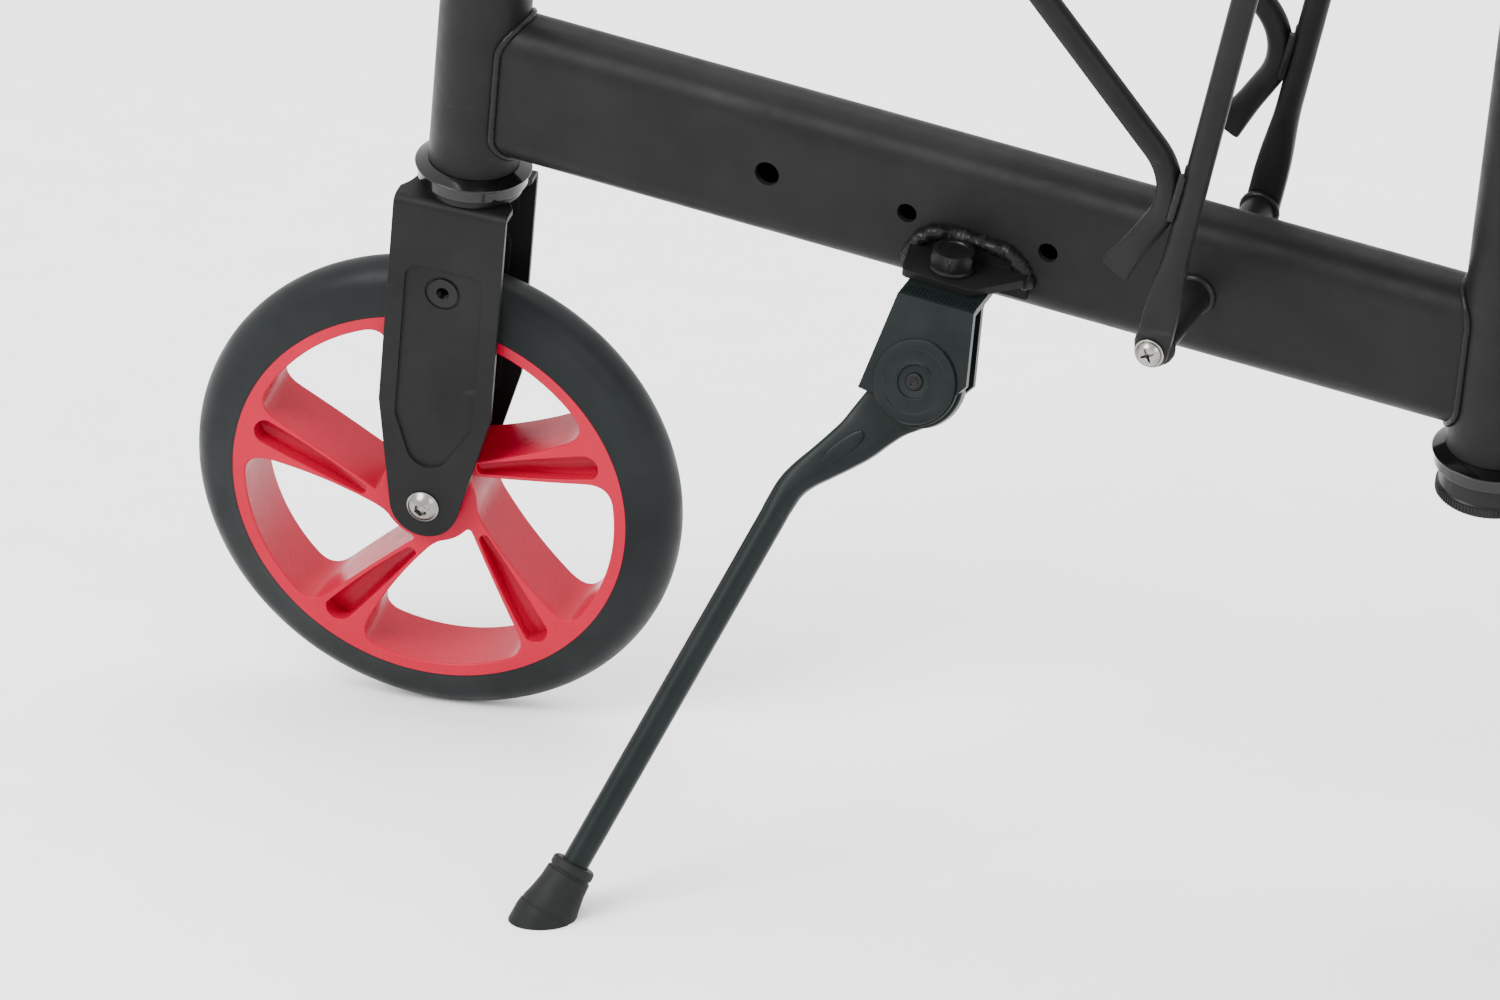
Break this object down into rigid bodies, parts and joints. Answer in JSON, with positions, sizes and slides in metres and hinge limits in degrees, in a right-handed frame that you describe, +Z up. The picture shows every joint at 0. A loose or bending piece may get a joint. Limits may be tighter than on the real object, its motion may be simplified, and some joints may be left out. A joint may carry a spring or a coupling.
{
  "type": "knee scooter",
  "caption": "Inline knee scooter with red-rimmed wheels, a beam frame, a kickstand, a carrier rack, an adjustable knee rest and a steering handlebar.",
  "frame": {"origin": "centre of the bounding box at ground level, with the scooter parked on its kickstand", "axes": "+Z up from the ground, +X to the rear along the scooter, +Y to the rider's right"},
  "size_m": [0.7595, 0.576, 0.9646],
  "materials": {
    "frame_paint": "satin",
    "gloss_paint": "gloss",
    "black_oxide": "satin",
    "kickstand_paint": "satin",
    "bright_steel": "polished",
    "brushed_steel": "brushed",
    "red_rim": "gloss",
    "tyre_rubber": "matte",
    "soft_rubber": "matte",
    "black_board": "matte",
    "pad_cover": "satin"
  },
  "bodies": {
    "frame": {"head_tube": "frame_paint", "knee_post_tube": "frame_paint", "main_beam": "frame_paint", "head_lower_cup": "gloss_paint", "head_upper_cup": "gloss_paint", "headset_bearings": "brushed_steel", "post_lower_cup": "gloss_paint", "post_upper_cup": "gloss_paint", "rear_socket": "frame_paint", "rear_stays": "frame_paint", "rear_axle_bolt": "bright_steel", "rear_axle_nut": "bright_steel", "brake_pin": "bright_steel", "kickstand_bracket": "frame_paint", "kickstand_bolt": "black_oxide", "kickstand_housing": "kickstand_paint", "kickstand_cover": "kickstand_paint", "kickstand_pin": "black_oxide", "rack_cross_tube": "frame_paint", "rack_upright_left": "frame_paint", "rack_upright_right": "frame_paint", "rack_arm_left": "frame_paint", "rack_arm_right": "frame_paint", "rack_deck": "frame_paint", "rack_screws": "bright_steel"},
    "fork": {"fork_blade": "frame_paint", "fork_arch": "frame_paint", "fork_insert_nuts": "black_oxide", "fork_crown_race": "black_oxide", "steerer_tube": "brushed_steel", "headset_top_nut": "black_oxide", "column_tube": "frame_paint", "column_clamp": "frame_paint", "column_clamp_bolt": "bright_steel", "front_axle_bolt": "bright_steel", "front_axle_nut": "bright_steel"},
    "handlebar": {"handlebar_post": "bright_steel", "handlebar_clamp": "frame_paint", "handlebar": "frame_paint", "grip_left": "soft_rubber", "grip_right": "soft_rubber"},
    "column_lever": {"column_lever": "frame_paint"},
    "front_wheel": {"front_rim": "red_rim", "front_tyre": "tyre_rubber", "front_wheel_bearings": "brushed_steel"},
    "rear_wheel": {"rear_rim": "red_rim", "rear_tyre": "tyre_rubber", "rear_wheel_bearings": "brushed_steel"},
    "kickstand_leg": {"kickstand_leg": "kickstand_paint", "kickstand_foot": "soft_rubber"},
    "knee_sleeve": {"knee_sleeve": "brushed_steel", "knee_lock_rings": "black_oxide", "knee_clamp": "frame_paint", "knee_clamp_bolt": "bright_steel"},
    "knee_lever": {"knee_lever": "frame_paint"},
    "knee_rest": {"knee_post": "frame_paint", "knee_board": "black_board", "knee_pad": "pad_cover"},
    "rear_brake": {"brake_fender": "frame_paint", "brake_shoe": "soft_rubber"}
  },
  "joints": [
    {"name": "steering", "type": "hinge", "parent": "frame", "child": "fork", "pos_m": [-0.25037, 0.07984, 0.2827], "axis": [0.1392, -0.1293, 0.9818], "range_deg": [-55.8, 44.2]},
    {"name": "front_wheel_spin", "type": "hinge", "parent": "fork", "child": "front_wheel", "pos_m": [-0.28021, 0.10362, 0.09909], "axis": [-0.1001, 0.9845, 0.1438], "continuous": true},
    {"name": "rear_wheel_spin", "type": "hinge", "parent": "frame", "child": "rear_wheel", "pos_m": [0.27977, 0.10399, 0.09924], "axis": [0, 0.9914, 0.1305], "continuous": true},
    {"name": "handlebar_height", "type": "slide", "parent": "fork", "child": "handlebar", "axis": [0.1392, -0.1293, 0.9818], "range_m": [-0.025, 0.09]},
    {"name": "column_lever_cam", "type": "hinge", "parent": "fork", "child": "column_lever", "pos_m": [-0.17792, 0.02503, 0.58809], "axis": [0.1392, -0.1293, 0.9818], "range_deg": [0, 120]},
    {"name": "kickstand_fold", "type": "hinge", "parent": "frame", "child": "kickstand_leg", "pos_m": [-0.04719, 0.02607, 0.20537], "axis": [0.0653, -0.9361, 0.3457], "range_deg": [0, 108]},
    {"name": "knee_rest_swivel", "type": "hinge", "parent": "frame", "child": "knee_sleeve", "pos_m": [0.16752, 0.0875, 0.22447], "axis": [0.1392, -0.1293, 0.9818], "range_deg": [-35, 35]},
    {"name": "knee_lever_cam", "type": "hinge", "parent": "knee_sleeve", "child": "knee_lever", "pos_m": [0.22067, 0.04378, 0.42406], "axis": [0.1392, -0.1293, 0.9818], "range_deg": [0, 120]},
    {"name": "knee_rest_height", "type": "slide", "parent": "knee_sleeve", "child": "knee_rest", "axis": [0.1392, -0.1293, 0.9818], "range_m": [0, 0.09]},
    {"name": "brake_pedal", "type": "hinge", "parent": "frame", "child": "rear_brake", "pos_m": [0.2239, 0.09028, 0.20342], "axis": [0, 0.9914, 0.1305], "range_deg": [0, 2.2], "stiffness_Nm_per_rad": 4, "springref_deg": -8.59}
  ]
}
